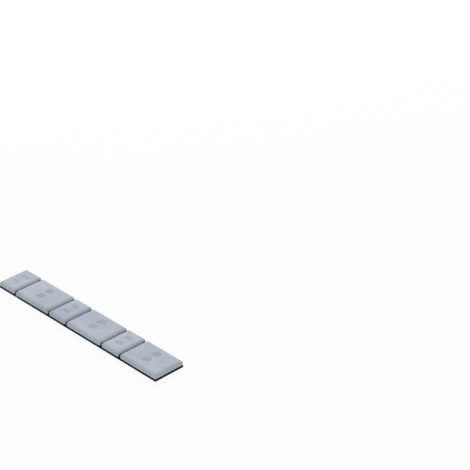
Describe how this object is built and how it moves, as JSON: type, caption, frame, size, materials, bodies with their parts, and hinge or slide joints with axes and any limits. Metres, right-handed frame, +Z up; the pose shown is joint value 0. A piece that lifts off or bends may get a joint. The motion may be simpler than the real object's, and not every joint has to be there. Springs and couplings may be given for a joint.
{
  "type": "wheel balance weight strip",
  "caption": "Self-adhesive wheel balance weight: short and long coated steel blocks in turn on one black foam tape, with a blue release film under it.",
  "frame": {"origin": "middle of the strip's outline with its pull tab, on the underside of the release film", "axes": "+X along the strip from its short end block to its long end block, +Y across it, +Z up from the film to the blocks' faces"},
  "size_m": [0.1264, 0.019, 0.004],
  "materials": {
    "coated_steel": "satin silver-grey coat",
    "foam": "matte black foam",
    "film": "smooth blue film"
  },
  "bodies": {
    "root": {"weight_5g_1": "coated_steel", "weight_10g_1": "coated_steel", "weight_5g_2": "coated_steel", "weight_10g_2": "coated_steel", "weight_5g_3": "coated_steel", "weight_10g_3": "coated_steel", "foam_tape": "foam", "release_film": "film"}
  },
  "joints": []
}
